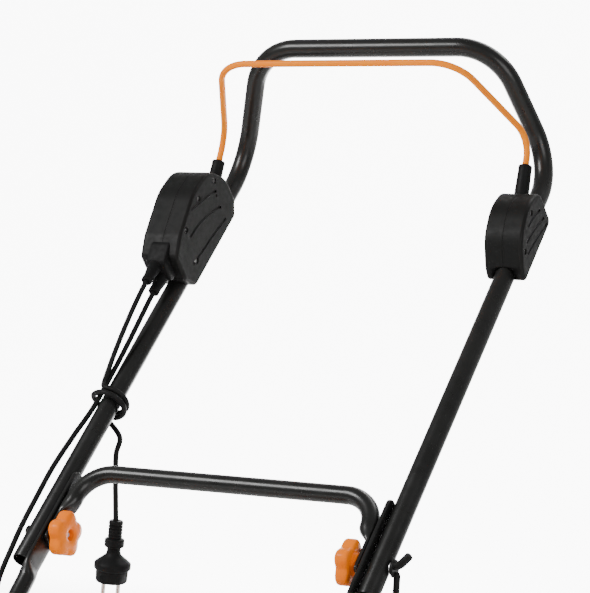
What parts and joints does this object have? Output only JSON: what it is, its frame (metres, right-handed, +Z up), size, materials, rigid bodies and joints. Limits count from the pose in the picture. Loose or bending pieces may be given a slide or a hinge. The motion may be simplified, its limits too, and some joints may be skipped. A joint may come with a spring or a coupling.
{
  "type": "push lawn mower",
  "caption": "Corded push lawn mower: bent tubular folding handle with a switch bail, a plastic deck, a motor, a blade and wheels.",
  "frame": {"origin": "on the ground, in the middle of the mower's length and width", "axes": "+Z up, +Y towards the operator along the mower's length, +X towards the operator's left"},
  "size_m": [0.4697, 1.2638, 1.031],
  "materials": {
    "black_gloss_paint": "glossy",
    "zinc_steel": "zinc plated",
    "orange_plastic": "glossy moulded",
    "orange_wire": "satin coat",
    "black_plastic": "fine grained moulding",
    "black_rubber": "satin",
    "cord_jacket": "satin",
    "nickel_pins": "bright",
    "white_plastic": "satin",
    "red_plastic": "satin",
    "deck_plastic": "semi-gloss moulded",
    "lamination_steel": "stacked sheets",
    "copper_winding": "lacquered",
    "blade_steel": "black with ground edges",
    "green_board": "satin",
    "wheel_plastic": "matt"
  },
  "bodies": {
    "chassis": {"lower_tube_left": "black_gloss_paint", "lower_tube_right": "black_gloss_paint", "crossbar": "black_gloss_paint", "crossbar_rivets": "zinc_steel", "handle_bolts": "zinc_steel", "cord_hook": "black_plastic", "motor_cable_lower": "cord_jacket", "cable_clips": "black_plastic", "deck_shell": "deck_plastic", "motor_cover": "black_plastic", "cover_screws": "zinc_steel", "motor_stator": "lamination_steel", "motor_bearings": "zinc_steel", "brake_module": "green_board", "carry_handle": "black_plastic", "front_axle": "zinc_steel", "rear_axles": "zinc_steel", "axle_clips": "zinc_steel", "flap_pin": "zinc_steel", "flap_spring": "zinc_steel", "bracket_screws": "zinc_steel"},
    "handle": {"upper_handle_tube": "black_gloss_paint", "bail_pivot_pins": "zinc_steel", "bail_return_spring": "zinc_steel", "switch_box_outer_shell": "black_plastic", "switch_box_inner_shell": "black_plastic", "switch_box_screws": "zinc_steel", "switch_unit": "white_plastic", "button_spring": "zinc_steel", "cable_glands": "black_rubber", "pivot_box_outer_shell": "black_plastic", "pivot_box_inner_shell": "black_plastic", "pivot_box_screws": "zinc_steel", "mains_cord": "cord_jacket", "plug_body": "black_rubber", "plug_pins": "nickel_pins", "motor_cable_upper": "cord_jacket"},
    "bail": {"bail_lever": "orange_wire", "bail_boot_left": "black_rubber", "bail_boot_right": "black_rubber", "bail_hub_left": "white_plastic", "bail_hub_right": "white_plastic"},
    "button": {"safety_button": "red_plastic"},
    "knob_left": {"knob_left": "orange_plastic", "knob_nut_left": "zinc_steel"},
    "knob_right": {"knob_right": "orange_plastic", "knob_nut_right": "zinc_steel"},
    "cutter": {"motor_rotor": "copper_winding", "blade_fan": "black_plastic", "blade": "blade_steel", "blade_bolt": "zinc_steel"},
    "flap": {"rear_flap": "black_plastic"},
    "wheel_front_left": {"wheel_front_left": "wheel_plastic", "hubcap_front_left": "deck_plastic"},
    "wheel_front_right": {"wheel_front_right": "wheel_plastic", "hubcap_front_right": "deck_plastic"},
    "wheel_rear_left": {"wheel_rear_left": "wheel_plastic", "hubcap_rear_left": "deck_plastic"},
    "wheel_rear_right": {"wheel_rear_right": "wheel_plastic", "hubcap_rear_right": "deck_plastic"}
  },
  "joints": [
    {"name": "handle_fold", "type": "hinge", "parent": "chassis", "child": "handle", "pos_m": [0, 0.1674, 0.50704], "axis": [1, 0, 0], "range_deg": [0, 130]},
    {"name": "bail_squeeze", "type": "hinge", "parent": "handle", "child": "bail", "pos_m": [0, 0.52254, 0.82338], "axis": [1, 0, 0], "range_deg": [-17, 0], "stiffness_Nm_per_rad": 0.6, "springref_deg": 28.65},
    {"name": "safety_press", "type": "slide", "parent": "handle", "child": "button", "axis": [1, 0, 0], "range_m": [0, 0.005], "stiffness_N_per_m": 300, "springref_m": -0.002},
    {"name": "knob_turn_left", "type": "hinge", "parent": "chassis", "child": "knob_left", "pos_m": [0.167, 0.1674, 0.50704], "axis": [1, 0, 0], "continuous": true},
    {"name": "knob_turn_right", "type": "hinge", "parent": "chassis", "child": "knob_right", "pos_m": [-0.167, 0.1674, 0.50704], "axis": [1, 0, 0], "continuous": true},
    {"name": "blade_spin", "type": "hinge", "parent": "chassis", "child": "cutter", "pos_m": [0, -0.365, 0.06], "axis": [0, 0, 1], "continuous": true},
    {"name": "flap_lift", "type": "hinge", "parent": "chassis", "child": "flap", "pos_m": [0, -0.103, 0.146], "axis": [1, 0, 0], "range_deg": [0, 75], "stiffness_Nm_per_rad": 0.02, "springref_deg": -17.19},
    {"name": "roll_front_left", "type": "hinge", "parent": "chassis", "child": "wheel_front_left", "pos_m": [0.18, -0.55, 0.075], "axis": [1, 0, 0], "continuous": true},
    {"name": "roll_front_right", "type": "hinge", "parent": "chassis", "child": "wheel_front_right", "pos_m": [-0.18, -0.55, 0.075], "axis": [1, 0, 0], "continuous": true},
    {"name": "roll_rear_left", "type": "hinge", "parent": "chassis", "child": "wheel_rear_left", "pos_m": [0.186, -0.135, 0.09], "axis": [1, 0, 0], "continuous": true},
    {"name": "roll_rear_right", "type": "hinge", "parent": "chassis", "child": "wheel_rear_right", "pos_m": [-0.186, -0.135, 0.09], "axis": [1, 0, 0], "continuous": true}
  ]
}
